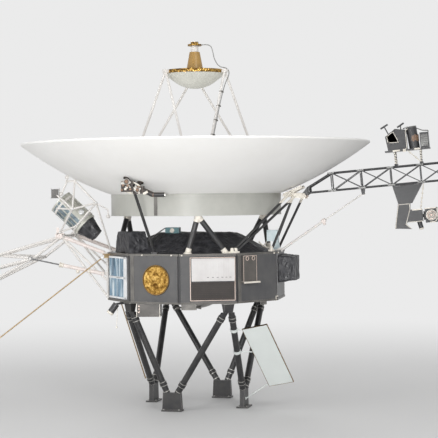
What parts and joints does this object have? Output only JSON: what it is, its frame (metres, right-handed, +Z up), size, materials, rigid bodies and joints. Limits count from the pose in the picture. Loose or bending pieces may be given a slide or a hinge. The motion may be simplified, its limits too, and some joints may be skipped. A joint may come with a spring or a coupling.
{
  "type": "deep-space probe",
  "caption": "Full-size deep-space probe on a four-footed stand: ten-sided bus, large dish, instrument boom with scan platform, and a boom of finned generators.",
  "frame": {"origin": "on the dish axis, in the plane of the four feet", "axes": "+Z up along the dish axis, +X along the science boom seen from above, +Y to its left"},
  "size_m": [8.1645, 3.6638, 3.8263],
  "materials": {
    "bus_black": "dark grey blanket over aluminium bays",
    "tank_metal": "bare titanium tank, satin",
    "blanket_black": "black multilayer blanket, wrinkled",
    "gold_plate": "gilded plate with turned rings",
    "louvre_white": "white louvre blades",
    "window_silver": "white frame, silvered louvre strips",
    "box_grey": "grey-brown equipment box",
    "black_tube": "black painted tube",
    "foot_black": "black painted foot bracket",
    "dish_white": "white paint on a bonded shell",
    "skirt_grey": "pale grey painted ring",
    "white_tube": "white painted tube",
    "sub_white": "pale mirror with a gilded crinkled edge",
    "feed_ochre": "ochre horn, white neck",
    "plate_white": "matt white target plate",
    "boom_black": "black composite truss",
    "instrument_black": "black instrument housing",
    "drive_metal": "machined drive housing",
    "generator_grey": "dark finned case",
    "canister_silver": "silver canister with cream ribs",
    "unit_teal": "teal painted box, pale blue cube",
    "cable_sheath": "pale cable sheath",
    "sensor_brown": "brown and black housings",
    "root_metal": "black tubes with bright fittings",
    "whip_gold": "gold-tan metal rod"
  },
  "bodies": {
    "probe": {"bus_ring": "bus_black", "bay_panels": "bus_black", "propellant_tank": "tank_metal", "top_blanket": "blanket_black", "top_units": "unit_teal", "gilded_disc": "gold_plate", "louvre_set": "louvre_white", "window_louvres": "window_silver", "bay_box": "box_grey", "blanket_box": "blanket_black", "under_box": "box_grey", "thrusters": "drive_metal", "adapter_fittings": "foot_black", "adapter_feet": "foot_black", "adapter_struts": "black_tube", "target_plate": "plate_white", "dish_reflector": "dish_white", "dish_skirt": "skirt_grey", "dish_bipods": "black_tube", "feed_horn": "dish_white", "subreflector": "sub_white", "upper_feed": "feed_ochre", "feed_struts": "white_tube", "feed_coax": "cable_sheath", "dish_sensor": "sensor_brown", "boom_root": "root_metal", "brace_clevis": "drive_metal", "outrigger": "white_tube", "mast_canister": "canister_silver", "mast_blanket": "blanket_black", "mast_frame": "white_tube", "whip_aerials": "whip_gold"},
    "science_boom": {"science_boom": "boom_black", "ray_counter": "instrument_black", "particle_unit": "instrument_black", "plasma_unit": "instrument_black", "azimuth_drive": "drive_metal"},
    "brace_lower": {"brace_lower": "white_tube"},
    "brace_upper": {"brace_upper": "white_tube"},
    "particle_head": {"particle_head": "instrument_black"},
    "platform_yoke": {"platform_yoke": "drive_metal"},
    "scan_platform": {"platform_frame": "drive_metal", "narrow_camera": "instrument_black", "wide_camera": "instrument_black", "infrared_unit": "instrument_black", "ultraviolet_unit": "instrument_black", "polarimeter": "instrument_black"},
    "generator_boom": {"rtg_boom": "white_tube", "generator_inner": "generator_grey", "generator_middle": "generator_grey", "generator_outer": "generator_grey"},
    "damper_cylinder": {"damper_cylinder": "drive_metal"},
    "damper_rod": {"damper_rod": "drive_metal"}
  },
  "joints": [
    {"name": "science_boom_fold", "type": "hinge", "parent": "probe", "child": "science_boom", "pos_m": [1.15, 0, 2.192], "axis": [0, 1, 0], "range_deg": [0, 42]},
    {"name": "brace_lower_fold", "type": "hinge", "parent": "probe", "child": "brace_lower", "pos_m": [0.90348, 0, 1.626], "axis": [0, 1, 0], "range_deg": [0, 22]},
    {"name": "brace_upper_fold", "type": "hinge", "parent": "science_boom", "child": "brace_upper", "pos_m": [1.76071, 0, 2.20916], "axis": [0, 1, 0], "range_deg": [-22, 0]},
    {"name": "particle_head_step", "type": "hinge", "parent": "science_boom", "child": "particle_head", "pos_m": [2.41243, 0, 1.97688], "axis": [0.9965, 0, 0.0837], "continuous": true},
    {"name": "platform_azimuth", "type": "hinge", "parent": "science_boom", "child": "platform_yoke", "pos_m": [3.39752, 0, 2.49513], "axis": [0.9965, 0, 0.0837], "range_deg": [-175, 175]},
    {"name": "platform_elevation", "type": "hinge", "parent": "platform_yoke", "child": "scan_platform", "pos_m": [3.61176, 0, 2.51312], "axis": [-0.0837, 0, 0.9965], "range_deg": [-60, 60]},
    {"name": "generator_boom_fold", "type": "hinge", "parent": "probe", "child": "generator_boom", "pos_m": [-1.404, 0, 1.792], "axis": [0, -1, 0], "range_deg": [0, 22]},
    {"name": "damper_cylinder_swing", "type": "hinge", "parent": "probe", "child": "damper_cylinder", "pos_m": [-0.945, -0.325, 1.399], "axis": [0, -1, 0], "range_deg": [0, 7]},
    {"name": "damper_rod_swing", "type": "hinge", "parent": "generator_boom", "child": "damper_rod", "pos_m": [-1.725, -0.325, 1.557], "axis": [0, -1, 0], "range_deg": [-16, 0]}
  ],
  "couplings": [
    {"joint": "brace_lower_fold", "follows": "science_boom_fold", "ratio": 0.495},
    {"joint": "brace_upper_fold", "follows": "science_boom_fold", "ratio": -0.505},
    {"joint": "damper_cylinder_swing", "follows": "generator_boom_fold", "ratio": 0.313},
    {"joint": "damper_rod_swing", "follows": "generator_boom_fold", "ratio": -0.687}
  ]
}
